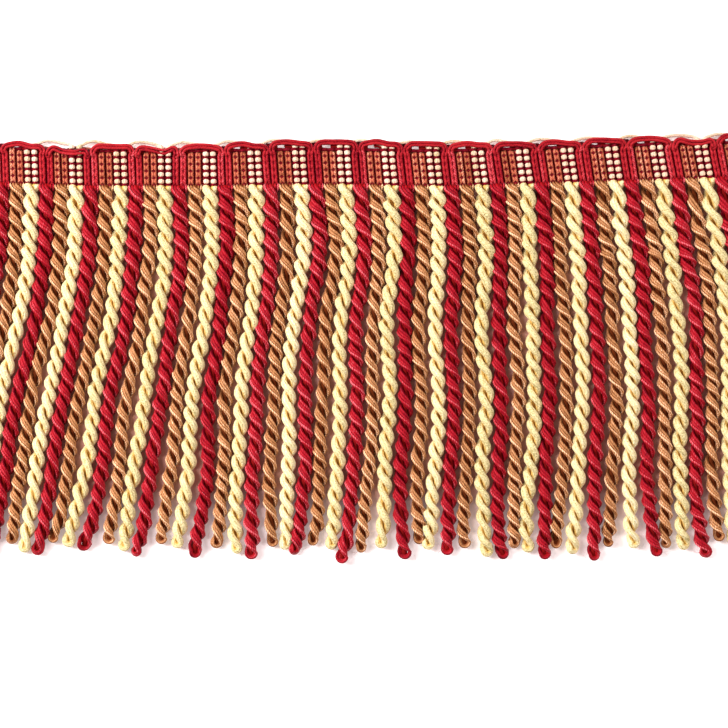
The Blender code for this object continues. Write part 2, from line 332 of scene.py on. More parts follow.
def swung(angle, first, second):
    """The directions first, turned by the angle towards second."""
    return np.cos(angle)[:, None] * first + np.sin(angle)[:, None] * second


def plump(depth, extra=PLUMP):
    """How much fuller a cord is near the band than further down."""
    return 1 + extra * (1 - ease(depth, *PLUMP_SPAN))


class Skin:
    """Collects closed tubes round lines of points into one mesh."""

    def __init__(self):
        self.bm = bmesh.new()
        self.bm.loops.layers.uv.new("around")
        layers = self.bm.verts.layers.float
        self.along = layers.new("along")
        self.depth = layers.new("depth")
        self.tone = layers.new("tone")
        self.sense = layers.new("sense")
        self.merged = {}

    def tube(self, points, facing, wide, thick, sides, depth=1.0, tone=0.5, axis=None,
             finish=0, sense=1.0):
        """wide: half its size along facing.  thick: half its size square to that.

        depth: from 0, in painted shade, to 1, its surface, or read from its distance to the
        axis.
        tone: its own share of light, random, with a painted highlight on a ply's
        lit yarns.  finish: which of the piece's materials it has.
        sense: 1 for threads that turn one way round it, -1 for the other.
        """
        rings = len(points)
        ahead = unit(np.gradient(points, axis=0))
        across_tube = square_to(facing, ahead)
        over = np.cross(ahead, across_tube)
        wide = np.broadcast_to(wide, rings)
        thick = np.broadcast_to(thick, rings)
        steps = np.linalg.norm(np.diff(points, axis=0), axis=1)
        along = np.concatenate(([0.0], np.cumsum(steps)))
        angles = 2 * math.pi * np.arange(sides + 1) / sides
        outline = (np.cos(angles)[None, :, None] * (wide[:, None] * across_tube)[:, None, :]
                   + np.sin(angles)[None, :, None] * (thick[:, None] * over)[:, None, :])
        points = points.copy()
        lowest = points[:, 2] + outline[:, :, 2].min(axis=1)
        points[:, 2] += np.maximum(FLOOR_GAP - lowest, 0.0)
        spots = points[:, None, :] + outline
        depths = np.broadcast_to(np.reshape(depth, (-1, 1)), spots.shape[:2])
        tones = np.broadcast_to(tone, rings)
        if axis is not None:
            depths = np.linalg.norm(spots - axis[:, None, :], axis=2) / DEPTH_SCALE
        made = bmesh.ops.create_grid(self.bm, x_segments=rings - 1, y_segments=sides,
                                     size=1.0, calc_uvs=True)["verts"]
        columns = {}
        for vert in made:
            ring = round((vert.co.x + 1) / 2 * (rings - 1))
            side = round((vert.co.y + 1) / 2 * sides)
            columns[ring, side] = vert
            vert.co = spots[ring, side]
            vert[self.along] = along[ring]
            vert[self.depth] = depths[ring, side]
            vert[self.tone] = tones[ring]
            vert[self.sense] = sense
            if finish:
                for face in vert.link_faces:
                    face.material_index = finish
        for ring in range(rings):
            self.merged[columns[ring, sides]] = columns[ring, 0]
        for ring in (0, rings - 1):
            columns[ring, 0].co = points[ring]
            for side in range(1, sides + 1):
                self.merged[columns[ring, side]] = columns[ring, 0]

    def hair(self, points, allowed, cord, rng):
        """A loose fibre that leaves the yarn somewhere where it is allowed to."""
        at = rng.choice(np.flatnonzero(allowed).tolist())
        if rng.random() < 0.5:
            at = len(points) // 2 + rng.randint(-6, 6)
        way = 2 * math.pi * rng.random()
        length = rng.uniform(2.0, 4.5) * MM
        curl = rng.uniform(-1.6, 1.6)
        t = np.linspace(0.0, 1.0, 6)
        reach = (cord.thick + cord.part) * 0.8 + length * t
        line = points[at] + np.column_stack((
            np.cos(way + curl * t) * reach, np.sin(way + curl * t) * reach,
            rng.uniform(-0.3, 0.8) * length * t))
        thin = HAIR_RADIUS * (1.1 - t)
        self.tube(line, same(UP, line), thin, thin, 3, tone=rng.random())

    def finish(self, name, finishes, slot, node=None):
        bmesh.ops.weld_verts(self.bm, targetmap=self.merged)
        bmesh.ops.dissolve_degenerate(self.bm, dist=1e-9, edges=self.bm.edges)
        bmesh.ops.recalc_face_normals(self.bm, faces=self.bm.faces)
        add_piece(name, self.bm, finishes, node)


def add_piece(name, bm, finishes, node=None):
    """Turns a bmesh into a smooth piece that rides on the part."""
    mesh = bpy.data.meshes.new(name)
    bm.to_mesh(mesh)
    bm.free()
    mesh.shade_smooth()
    for finish in finishes:
        mesh.materials.append(finish)
    piece = bpy.data.objects.new(name, mesh)
    bpy.context.scene.collection.objects.link(piece)
    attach(piece, "root")
    if node:
        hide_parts(node)
    return piece


# Shader helpers

class Value:
    """A number socket that takes part in Python sums."""

    def __init__(self, finish, socket):
        self.finish = finish
        self.socket = socket

    def __add__(self, other):
        return self.finish.call("ADD", self, other)

    def __radd__(self, other):
        return self.finish.call("ADD", other, self)

    def __sub__(self, other):
        return self.finish.call("SUBTRACT", self, other)

    def __rsub__(self, other):
        return self.finish.call("SUBTRACT", other, self)

    def __mul__(self, other):
        return self.finish.call("MULTIPLY", self, other)

    def __rmul__(self, other):
        return self.finish.call("MULTIPLY", other, self)


class Finish:
    """One material, written as sums on its sockets."""

    def __init__(self, name, roughness, sheen=0.0, specular=0.5, tint=(1.0, 1.0, 1.0)):
        self.material = bpy.data.materials.new(name)
        self.material.use_nodes = True
        self.tree = self.material.node_tree
        self.shader = self.tree.nodes["Principled BSDF"]
        self.shader.inputs["Roughness"].default_value = roughness
        self.shader.inputs["Specular IOR Level"].default_value = specular
        self.shader.inputs["Specular Tint"].default_value = rgba(tint)
        self.shader.inputs["Sheen Weight"].default_value = sheen
        self.shader.inputs["Sheen Roughness"].default_value = 0.4

    def node(self, kind, options=None, inputs=None):
        """Adds a node: its settings first, then its sockets' values or links."""
        node = self.tree.nodes.new("ShaderNode" + kind)
        for name, option in (options or {}).items():
            setattr(node, name, option)
        for name, given in (inputs or {}).items():
            self.put(node.inputs[name], given)
        return node

    def put(self, socket, given):
        if isinstance(given, Value):
            given = given.socket
        if isinstance(given, bpy.types.NodeSocket):
            self.tree.links.new(given, socket)
        else:
            socket.default_value = given

    def attribute(self, name):
        return Value(self, self.node("Attribute", {"attribute_name": name}).outputs["Fac"])

    def place(self):
        """The place on the piece, in metres."""
        return self.node("TexCoord").outputs["Object"]

    def call(self, operation, value, second=0.0):
        """A Math node on one or two numbers."""
        node = self.node("Math", {"operation": operation}, {0: value, 1: second})
        return Value(self, node.outputs[0])

    def vector(self, x, y, z):
        return self.node("CombineXYZ", None, {0: x, 1: y, 2: z}).outputs[0]

    def noise(self, vector, scale, detail=2.0, roughness=0.5):
        inputs = {"Vector": vector, "Scale": scale, "Detail": detail, "Roughness": roughness}
        return Value(self, self.node("TexNoise", None, inputs).outputs["Fac"])

    def span(self, value, low, high, start=0.0, end=1.0):
        """The value's range from low to high spread over start to end, and held there."""
        inputs = {"Value": value, "From Min": low, "From Max": high,
                  "To Min": start, "To Max": end}
        node = self.node("MapRange", {"interpolation_type": "SMOOTHSTEP"}, inputs)
        return Value(self, node.outputs["Result"])

    def mix(self, share, first, second):
        """The first colour where the share is 0, the second where it is 1."""
        node = self.node("Mix", {"data_type": "RGBA"}, {"Factor": share})
        self.put(node.inputs[6], first)
        self.put(node.inputs[7], second)
        return node.outputs[2]

    def colour(self, given):
        self.put(self.shader.inputs["Base Color"], given)

    def bump(self, height, distance):
        inputs = {"Height": height, "Distance": distance, "Strength": 1.0}
        self.put(self.shader.inputs["Normal"], self.node("Bump", None, inputs).outputs[0])


def rgba(colour):
    return (*colour, 1.0)


def shaded(colour, factor):
    return tuple(min(channel * factor, 1.0) for channel in colour)


def blended(first, second, share):
    return tuple(a * (1 - share) + b * share for a, b in zip(first, second))


# threads: twisted together in a yarn.  lay: their turns round it for each metre.
# fibres: side by side round a yarn.  relief: how much of the given relief it has.
# seam: painted shade on a yarn's sides, where it meets the next one.  fleck: of short fibres.
# beads: painted highlights on the threads' crests of the lit strands.
Twist = namedtuple("Twist", "threads lay fibres relief seam fleck beads")
TWISTS = {
    "crimson": Twist(3, -400.0, 8, 0.9, 0.26, 0.25, 0.32),
    "bronze": Twist(3, -400.0, 9, 1.0, 0.32, 0.3, 0.45),
    "cream": Twist(7, -60.0, 30, 2.4, 0.0, 0.65, 0.4),
    "thread": Twist(2, 500.0, 6, 0.4, 0.0, 0.1, 0.4),
}
LEG_TWIST = {"lay": -340.0, "seam": 0.16, "beads": 0.6}     # of the legs in the heading
FLOW = 0.15                    # a fibre's turns as a share of its thread's
DARK_TO_BODY = (0.26, 0.60)    # shades over which a yarn's colours follow each other
BODY_TO_LIGHT = (0.68, 0.98)
DULL = 0.95                    # roughness of what lies deep in the yarns
# Scales of the patterns, in waves for each metre
WANDER_SCALE = 600.0           # of the threads' uneven twist
FIBRE_SCALE = 300.0            # of the long fibres, along the yarn
PATCH_SCALE = 220.0            # of light and dark patches
FLECK_SCALE = 1700.0           # of the short fibres
GRAIN_SCALE = 900.0            # of the warp and of the unlit yarns


def yarn_finish(name, tones, roughness, twist, relief, hollow_span=(0.15, 0.6)):
    """Yarn of a few threads twisted together, each of many fibres, with painted shade on its
    inside.

    tones: its colours of painted shade, of dark fibres and painted shade at its sides, of its
    body, and of light fibres and painted highlights.
    """
    hollow_shade, dark, middle, light = tones
    finish = Finish(name, roughness, tint=light)
    around = finish.node("UVMap", {"uv_map": "around"}).outputs[0]
    turn = Value(finish, finish.node("SeparateXYZ", None, {0: around}).outputs[1])
    along = finish.attribute("along")
    tone = finish.attribute("tone")
    place = finish.place()
    lay = turn + along * finish.attribute("sense") * twist.lay + tone
    wander = finish.noise(place, WANDER_SCALE, 3.0) - 0.5
    crest = finish.call("ABSOLUTE", finish.call(
        "SINE", lay * (math.pi * twist.threads) + wander * 3.0))
    flow = turn + along * (twist.lay * FLOW) + tone
    side = finish.call("COSINE", flow * (2 * math.pi))
    front = finish.call("SINE", flow * (2 * math.pi))
    ring = twist.fibres / (2 * math.pi)
    fibre_place = finish.vector(side * ring, front * ring, along * FIBRE_SCALE + tone * 90.0)
    fibre = finish.noise(fibre_place, 1.0, 3.0, 0.7)
    patch = finish.noise(place, PATCH_SCALE)
    fleck = finish.noise(place, FLECK_SCALE, 2.0, 0.6) - 0.5
    shade = fibre * 0.7 + patch * 0.3 + fleck * twist.fleck * 2
    # Painted highlight: lighter yarns, such as a ply's lit left edge yarn, get lighter still,
    # with lit crests on their threads
    shade = shade + crest * (tone * twist.beads + 0.08) + (tone - 0.45) * 0.2
    # Painted shade on each yarn's sides, where it meets the next one
    if twist.seam:
        edge = finish.call("ABSOLUTE", finish.call("COSINE", turn * (2 * math.pi)))
        shade = shade - finish.span(edge, 0.5, 1.0) * twist.seam
    body = finish.mix(finish.span(shade, *DARK_TO_BODY), rgba(dark), rgba(middle))
    body = finish.mix(finish.span(shade, *BODY_TO_LIGHT), body, rgba(light))
    # Painted shade: where the depth is low, deep in a cord or in a leg's pit or pinch, the
    # yarn takes its dark shade colour
    lit = finish.span(finish.attribute("depth"), *hollow_span)
    finish.colour(finish.mix(lit, rgba(hollow_shade), body))
    finish.put(finish.shader.inputs["Roughness"], DULL - lit * (DULL - roughness))
    finish.bump(crest * 0.35 + fibre * 0.6 + fleck * twist.fleck, relief * twist.relief)
    return finish.material


def yarn_finishes(part):
    """The three yarns' materials for the cords or the heading."""
    given = settings()
    finishes = {}
    for colour, light in HIGHLIGHTS_AND_LIGHT_FIBRES.items():
        middle = tuple(getattr(given, colour))
        hollow_shade = HOLLOW_SHADES[colour]
        twist = TWISTS[colour]
        if part == "heading":
            middle = blended(middle, HEADING_WARP_REFLECTIONS[colour], BODY_TINT)
            light = blended(light, HEADING_WARP_REFLECTIONS[colour], LIGHT_TINT)
            hollow_shade = HEADING_HOLLOW_SHADE
            if CORDS[colour].yarns > 1:
                twist = twist._replace(**LEG_TWIST)
        finishes[colour] = yarn_finish(
            f"{colour}_{part}_yarn", (hollow_shade, SHADES[colour], middle, light),
            ROUGHNESSES[colour], twist, given.fibre_relief, HOLLOW_SHADE_SPANS[colour])
    return finishes


def dark_shade_finish(colour):
    """Painted shade: the dark material of the cores between the plies and of the pieces behind
    the loops.
    """
    name = f"{colour}_hollow"
    material = bpy.data.materials.get(name)
    if material is None:
        finish = Finish(name, DULL, specular=0.1)
        grain = finish.noise(finish.place(), GRAIN_SCALE)
        dark = shaded(SHADE_CORES[colour], 0.5)
        finish.colour(finish.mix(grain, rgba(dark), rgba(SHADE_CORES[colour])))
        material = finish.material
    return material


# Yarn, cord and heading lines

def drift(rng, depth, lengths, size):
    """Waves of the given lengths, with random starts and about the given size each."""
    return sum(size * rng.uniform(0.5, 1.3)
               * np.sin(2 * math.pi * (depth / length + rng.random()))
               for length in lengths)


def turned(cord, depth, foot, rng):
    """How far the plies are turned round the cord at each depth, in radians."""
    share = np.clip((depth - SHOULDER_DEPTH) / (foot - SHOULDER_DEPTH), 0.0, 1.0)
    half_turns = round((foot - SHOULDER_DEPTH) / (cord.turn * rng.uniform(0.97, 1.03)))
    for waves in (2, 5, 11, 17):
        share = share + (cord.rate / (waves * math.pi) * rng.uniform(-0.6, 0.6)
                         * np.sin(waves * math.pi * share))
    tilt = math.radians(rng.uniform(-30, 30))
    turn = math.pi - (math.pi * half_turns) * share + tilt * share**8
    return turn - cord.early * (1 - share)


def cord_middle(course, lift, half_width, depth, foot, big, rng):
    """A cord's own middle line, which sways, settles on the floor and ends in a hook."""
    free = ease(depth, SHOULDER_DEPTH + 4 * MM, SHOULDER_DEPTH + 25 * MM)
    sway = 0.2 * MM + drift(rng, depth, (17 * MM,), 0.12 * MM)
    sway += drift(rng, depth, (47 * MM, 120 * MM), 0.28 * MM)
    heave = 0.2 * MM + drift(rng, depth, (27 * MM, 64 * MM), 0.12 * MM)
    settle = ease(depth, foot - 9 * MM, foot) * (CORD_HEIGHT - half_width - 0.45 * MM)
    fade = 1 - ease(depth, SHOULDER_DEPTH, SHOULDER_DEPTH + 12 * MM)
    middle = np.column_stack((
        course.x_at(depth) + sway * free,
        course.rise * fade - depth,
        CORD_HEIGHT + lift + heave * free - settle,
    ))
    hook = rng.uniform(-0.1, 1.4) * MM * (2.0 if big else 1.0)
    way = 1 if course.leans[-1] > 0 else -1
    middle[:, 0] += way * hook * ease(depth, foot - 7 * MM, foot + 3 * MM)
    return middle


def ply_line(course, cord, rng, big):
    """The middle line of a cord's ply, down one side, round the end and up the other.

    Gives its points, the side its first yarn lies on, its depths, the cord's own
    middle line and the number of points in one ply.
    """
    half_width = cord.wide + cord.part * (cord.yarns - 1) / 2
    eye = cord.eye * rng.uniform(0.9, 1.15) * (BIG_EYE if big else 1.0)
    foot = course.drop - eye - half_width
    head = SHOULDER_DEPTH - CORD_TUCK
    depth = np.linspace(head, foot, int((foot - head) / RING_STEP) + 1)
    turn = turned(cord, depth, foot, rng)
    middle = cord_middle(course, cord.lift, half_width, depth, foot, big, rng)
    down = unit(np.gradient(middle, axis=0))
    right = unit(np.cross(same(UP, middle), down))
    above = np.cross(down, right)
    out = swung(turn, right, above)
    facing = swung(np.minimum(turn + math.pi / 2, math.pi), right, above)

    loose = 1 + drift(rng, depth, (7 * MM, 11 * MM, 19 * MM), cord.loose)
    reach = cord.reach * loose * plump(depth)
    reach += (eye - reach) * ease(depth, foot - 3.5 * MM, foot)
    legs = 1 - ease(depth, SHOULDER_DEPTH - 1.0 * MM, SHOULDER_DEPTH + 2.0 * MM)
    lying = np.array((1.0, 1.0, FLATTENED))
    leg_place = np.column_stack((course.leg_x(depth), course.rise - depth,
                                 np.full_like(depth, LEG_HEIGHT)))
    sides = []
    for side in (1, -1):
        twisted = middle + side * reach[:, None] * out * lying
        straight = leg_place - side * np.array((LEG_SPREAD, 0, 0))
        sides.append(twisted * (1 - legs[:, None]) + straight * legs[:, None])
    twisted_part = ease(depth, SHOULDER_DEPTH, SHOULDER_DEPTH + 5 * MM)
    flatten = ease(depth, foot - 4 * MM, foot)
    first, second = [way * YARN_ROLL * (cord.yarns > 1) * twisted_part * (1 - flatten)
                     + END_ROLL * flatten for way in (1, -1)]
    around = np.linspace(0, math.pi, 9)[1:-1]
    round_end = swung(around, out[-1], down[-1])
    points = np.vstack((sides[0], middle[-1] + eye * round_end, sides[1][::-1]))
    facings = np.vstack((
        swung(first, facing, out),
        math.cos(first[-1]) * facing[-1] + math.sin(first[-1]) * round_end,
        swung(second, facing, -out)[::-1],
    ))
    depths = np.concatenate((depth, np.full(len(around), foot), depth[::-1]))
    axis = np.vstack((middle, np.repeat(middle[-1:], len(around), axis=0), middle[::-1]))
    return points, facings, depths, axis, len(depth)


def build_cords(colour, finish):
    """All the hanging cords of one colour."""
    cord = CORDS[colour]
    plied = cord.yarns > 1
    skin = Skin()
    loose = Skin()
    for repeat in range(cord_count(colour)):
        rng = random.Random(100 * PLACES[colour] + repeat)
        course = CordCourse(repeat, colour)
        big = repeat in BIG_EYES[colour]
        points, facing, depths, axis, count = ply_line(course, cord, rng, big)
        foot = depths[count - 1]
        side = square_to(facing, unit(np.gradient(points, axis=0)))
        size = 0.7 + 0.3 * ease(depths, SHOULDER_DEPTH - 1.0 * MM, SHOULDER_DEPTH - 0.2 * MM)
        size *= 1 - cord.taper * ease(depths, foot - 5 * MM, foot)
        size *= plump(depths, cord.plump)
        close = cord.part * plump(depths) * (1 - 0.42 * ease(depths, foot - 3 * MM, foot))
        back = ease(np.arange(len(points)), count - 4, len(points) - count + 4)
        for yarn in range(cord.yarns):
            place = yarn - (cord.yarns - 1) / 2
            to_left = place * (1 - 2 * back)
            line = points + (place * close)[:, None] * side
            line[:, 2] += drift(rng, depths, (5 * MM, 8 * MM), 0.09 * MM) * plied
            wave = 1 + drift(rng, depths, (6 * MM, 13 * MM), cord.wave)
            wave += (0.1 - 0.22 * np.maximum(to_left, 0)) * plied
            # Painted highlight: the yarn on a ply's left edge, which faces the light, is
            # lighter
            tone = rng.uniform(0.0, 0.5) + 0.5 * np.maximum(to_left, 0)
            skin.tube(line, side, cord.wide * size * wave, cord.thick * size,
                      cord.sides, tone=tone, axis=axis)
        for _ in range(HAIRS):
            loose.hair(points, depths > SHOULDER_DEPTH, cord, rng)
        # Painted shade: a dark core down the cord's middle and into the eye of its loop, where
        # the plies leave a gap
        heart = axis[:count][depths[:count] > SHOULDER_DEPTH + 1.0 * MM][::2]
        into_eye = np.array(((0, 0, -0.5), (0, -0.9, -0.6), (0, -1.1, -0.6))) * MM
        heart = np.vstack((heart[:-1], axis[count - 1] + into_eye))
        skin.tube(heart, same(UP, heart), SHADE_CORE_HEIGHT * cord.heart,
                  SHADE_CORE_WIDTH * cord.heart, SHADE_PIECE_SIDES, finish=1)
    weft = f"{colour}_weft"
    loose.finish(f"{colour}_loose_fibres", (finish,), colour, weft)
    skin.finish(f"{colour}_cords", (finish, dark_shade_finish(colour)), colour, weft)


# How each weft passes over the top edge, in millimetres.
# low: its height over the floor there.  rise: over the band's edge, or None for the
# loop heights in COURSES.  strand: its yarns' radius.  part: between their middles, halved.
# leg: the same in the legs.
Over = namedtuple("Over", "rise low strand part leg")
OVERS = {
    "crimson": Over(None, 3.15, 0.58, 0.5, 0.49),
    "bronze": Over(0.9, 0.7, 0.36, 0.34, 0.42),
    "cream": Over(3.1, 1.55, 0.60, 0.0, 0.0),
}
# The bronze and the cream weft's way from leg to leg behind the loops: share of the way,
# and millimetres up the fringe and off the floor
BEHIND = {
    "bronze": ((0.0, -1.7, 0.6), (0.06, -0.7, 0.1), (0.3, 0.0, 0.0),
               (0.7, 0.0, 0.0), (0.94, -0.7, 0.1), (1.0, -1.7, 0.6)),
    "cream": ((0.0, -1.9, 0.6), (0.06, -0.9, 0.1), (0.36, 0.45, 0.0),
              (0.7, -0.1, 0.0), (0.94, -1.0, 0.1), (1.0, -1.9, 0.6)),
}


def loop_shape(height, rng):
    """The crimson loop's way, as in BEHIND.  A low loop sags in its middle."""
    fall = rng.uniform(-0.35, 0.35)
    sag = 1 - float(ease(height, 0.0, 0.9))
    return ((-0.035, -1.5, -0.35), (0.02, -0.15 + sag * 0.8, 0.0),
            (0.13, 0.6 + sag * 0.6, 0.0), (0.4, 0.9 - sag * 0.6, 0.0),
            (0.7, 0.45 + fall - sag * 0.3, 0.0), (0.96, fall + sag * 0.9, 0.0),
            (1.035, -1.5, -0.35))


def leg_line(course, side, bottom, top):
    """Two points of a straight leg."""
    x_top = course.leg_x(-top) + side * LEG_SPREAD
    x_bottom = course.leg_x(-bottom) + side * LEG_SPREAD
    return (x_bottom, course.rise + bottom, LEG_HEIGHT), (x_top, course.rise + top, LEG_HEIGHT)


def over_line(colour, start, end, repeat, rng):
    """From a cord's right leg, over the top edge, down the next cord's left leg."""
    over = OVERS[colour]
    loop = COURSES[repeat].loop
    rise = (loop if over.rise is None else over.rise) * MM
    first = leg_line(start, 1, LEG_FOOT, LEG_TOP)
    last = leg_line(end, -1, LEG_FOOT, LEG_TOP)
    x0, x1 = first[1][0], last[1][0]
    bumps = [rng.uniform(-0.25, 0.25) * MM for _ in range(5)]
    shape = BEHIND.get(colour) or loop_shape(loop, rng)
    spots = [first[0], first[1]]
    for number, (share, height, up) in enumerate(shape):
        x = x0 + (x1 - x0) * share
        y = EDGE + float(rise_at(x)) + rise + height * MM
        if 0 < number < len(shape) - 1:
            y += bumps[number - 1]
        spots.append((x, y, over.low * MM + up * MM))
    spots += [last[1], last[0]]
    return follow(spots)


def follow(spots, step=LEG_STEP):
    """Even points on a smooth curve through the spots."""
    spots = np.array(spots)
    lengths = np.linalg.norm(np.diff(spots, axis=0), axis=1)
    stations = np.concatenate(([0.0], np.cumsum(lengths)))
    at = np.linspace(0.0, stations[-1], int(stations[-1] / step) + 1)
    return np.column_stack([smooth(stations, spots[:, axis], at) for axis in range(3)])


def up_band(points):
    """How far up the fringe the points lie from the bent band's middle."""
    return points[:, 1] - rise_at(points[:, 0])


def row_closeness(points):
    """1 where a warp stitch crosses, 0 half way between two and over the top edge."""
    height = up_band(points)
    phase = (height - FIRST_ROW) / ROW_PITCH
    wave = 0.5 + 0.5 * np.cos(2 * math.pi * phase)
    return wave * (1 - ease(height, EDGE + 0.6 * MM, EDGE + 1.4 * MM))


def shade_below_loop(skin, loop, rng):
    """Painted shade: a dark piece behind a loop, with an opening near the loop's left end."""
    opening = rng.uniform(0.21, 0.26), rng.uniform(0.33, 0.42)
    count = len(loop)
    for start, end in ((0.06, opening[0]), (opening[1], 0.94)):
        inside = loop[round(count * start):round(count * end)]
        if len(inside) > 3:
            inside = inside - np.array((0.0, 1.25, 1.5)) * MM
            skin.tube(inside, same(HEADWARD, inside), 0.8 * MM, 0.35 * MM, SHADE_PIECE_SIDES,
                      finish=1)


def build_heading(colour, finish):
    """One colour's legs in the heading and its passes over the top edge."""
    over = OVERS[colour]
    skin = Skin()
    courses = [CordCourse(repeat, colour) for repeat in range(cord_count(colour))]
    rng = random.Random(7 + PLACES[colour])
    lines = [over_line(colour, start, end, repeat, rng)
             for repeat, (start, end) in enumerate(zip(courses, courses[1:]))]
    for course, side in ((courses[0], -1), (courses[-1], 1)):
        lines.append(follow(leg_line(course, side, LEG_FOOT, END_LEG_TOP)))
    for line in lines:
        near = row_closeness(line)
        height = up_band(line)
        raised = ease(height, EDGE - 0.6 * MM, EDGE + 1.2 * MM)
        tuck = ease(-height, SHOULDER_DEPTH - 1.3 * MM, SHOULDER_DEPTH - 0.4 * MM)
        line[:, 2] += (0.18 - 0.3 * near) * MM * (1 - raised) - 0.7 * MM * tuck
        ahead = unit(np.gradient(line, axis=0))
        facing = np.column_stack((-ahead[:, 1], ahead[:, 0], np.zeros(len(line))))
        if CORDS[colour].yarns > 1:
            pit = ease(near, 0.2, 0.75) * (1 - raised) * PITS[colour]
            part = (over.leg * MM * (1 - raised) + over.part * MM * raised) + 0.3 * MM * pit
            radius = (over.leg + LEG_PRESS) * MM * (1 - raised) + over.strand * MM * raised
            radius -= 0.18 * MM * pit
            radius -= 0.2 * MM * tuck
            side = square_to(facing, ahead)
            for way in (1, -1):
                place = line + way * part[:, None] * side
                # Painted shade: the depth falls where a stitch parts the two yarns, so the pit
                # takes the dark heading shade colour
                skin.tube(place, side, radius, radius, 8, 1.0 - 0.5 * pit**2,
                          rng.uniform(0.0, 0.6) * (1 - 0.6 * raised), sense=way)
            if colour == "crimson":
                shade_below_loop(skin, line[raised > 0.6], rng)
        else:
            thin = ease(height, EDGE + 1.4 * MM, EDGE + 2.4 * MM)
            pinch = np.maximum(ease(near, 0.3, 0.74), tuck)
            leg = (CREAM_LEG - CREAM_PINCH * pinch) * MM
            radius = leg * (1 - thin) + over.strand * MM * thin
            # Painted shade: the depth falls where a stitch pinches the leg, so the pinch takes
            # the dark heading shade colour
            skin.tube(line, facing, radius, radius, 12, 1.0 - pinch, rng.random())
    skin.finish(f"{colour}_heading", (finish, dark_shade_finish(colour)), colour,
                f"{colour}_weft")


def build_warp_stitches(finish):
    """The rows of thin thread that cross all the legs, the dark thread on the edge, partly in
    painted shade, and dark pieces of painted shade in the notches between loops.
    """
    skin = Skin()
    legs = [(CordCourse(repeat, colour), side, colour) for colour in PLACES
            for repeat in range(cord_count(colour)) for side in (-1, 1)]
    legs.sort(key=lambda leg: leg[0].middle + leg[1] * LEG_SPREAD)
    for row in range(ROWS):
        height = FIRST_ROW + row * ROW_PITCH
        spots = []
        for course, side, colour in legs:
            x = course.leg_x(-height) + side * LEG_SPREAD
            y = height + course.rise
            top = LEG_HEIGHT + (0.68 if colour == "cream" else -0.12) * MM
            if spots:
                spots.append(((spots[-1][0] + x) / 2, (spots[-1][1] + y) / 2, STITCH_DIP))
            spots.append((x, y, top))
        first, last = spots[0], spots[-1]
        spots.insert(0, (first[0] - STITCH_TURN, first[1], STITCH_END))
        spots.append((last[0] + STITCH_TURN, last[1], STITCH_END))
        line = follow(spots, STITCH_STEP)
        skin.tube(line, same(HEADWARD, line), STITCH_WIDTH, STITCH_HEIGHT, 6, STITCH_DEPTH)
    edge = np.arange(-HALF_LENGTH - 1.5 * MM, HALF_LENGTH + 1.5 * MM, 1.0 * MM)
    line = np.column_stack((edge, rise_at(edge) + EDGE + 0.15 * MM,
                            np.full(len(edge), 0.8 * MM)))
    skin.tube(line, same(HEADWARD, line), 0.5 * MM, 0.5 * MM, 6, SHADED_DEPTH)
    # Painted shade: a short dark piece in each notch between two loops, as high as the lower
    # of them
    for repeat in range(REPEATS + 1):
        middle = repeat * REPEAT - HALF_LENGTH
        line = np.array((-1.7, -0.9, 0.0, 0.9, 1.7))[:, None] * np.array((MM, 0.0, 0.0))
        beside = [COURSES[max(repeat - 1, 0)].loop, COURSES[min(repeat, REPEATS - 1)].loop]
        height = max(min(beside) + 0.2, 0.2) * MM
        line += (middle, EDGE + float(rise_at(middle)) + height, 1.2 * MM)
        skin.tube(line, same(HEADWARD, line), 0.9 * MM, 0.4 * MM, 6, SHADED_DEPTH)
    skin.finish("warp_stitches", (finish,), "warp")


def build_warp_band(finish):
    """The narrow ground of warp threads behind the legs, bent as the heading is."""
    bm = bmesh.new()
    bmesh.ops.create_grid(bm, x_segments=REPEATS * 12, y_segments=12, size=1.0)
    for vert in bm.verts:
        x = vert.co.x * (HALF_LENGTH + BAND_MARGIN)
        bent = float(rise_at(np.clip(x, -HALF_LENGTH, HALF_LENGTH)))
        vert.co = Vector((x, vert.co.y * EDGE + bent, BAND_THICKNESS))
    made = bmesh.ops.extrude_face_region(bm, geom=bm.faces[:])
    lowered = [item for item in made["geom"] if isinstance(item, bmesh.types.BMVert)]
    bmesh.ops.translate(bm, verts=lowered, vec=(0, 0, -BAND_THICKNESS))
    bmesh.ops.recalc_face_normals(bm, faces=bm.faces)
    piece = add_piece("warp_ground", bm, (finish,), "warp_band")


def band_finish(colour, dark):
    """The warp ground's ribs, one for each leg, crossed by fine threads."""
    finish = Finish("warp_weave", 0.85, sheen=0.05, specular=0.2)
    place = finish.place()
    split = finish.node("SeparateXYZ", None, {0: place})
    x = Value(finish, split.outputs[0])
    y = Value(finish, split.outputs[1])
    rib = finish.call("SINE", x * (2 * math.pi / (LEG_SPREAD * 2)))
    thread = finish.call("SINE", y * (2 * math.pi / (0.42 * MM)))
    grain = finish.noise(place, GRAIN_SCALE)
    shade = finish.span(rib * 0.3 + thread * 0.3 + grain, -0.1, 1.1)
    finish.colour(finish.mix(shade, rgba(dark), rgba(colour)))
    finish.bump(thread * 0.4 + grain, 0.15 * MM)
    return finish.material


# The stage

def add_to_scene(name, data):
    """A camera, light or floor as an object of the scene."""
    made = bpy.data.objects.new(name, data)
    bpy.context.scene.collection.objects.link(made)
    return made


def add_camera():
    data = bpy.data.cameras.new("camera")
    data.lens = CAMERA_LENS
    data.sensor_width = CAMERA_FRAME
    data.clip_end = FARTHEST
    camera = add_to_scene("camera", data)
    camera.location = CAMERA_PLACE
    bpy.context.scene.camera = camera


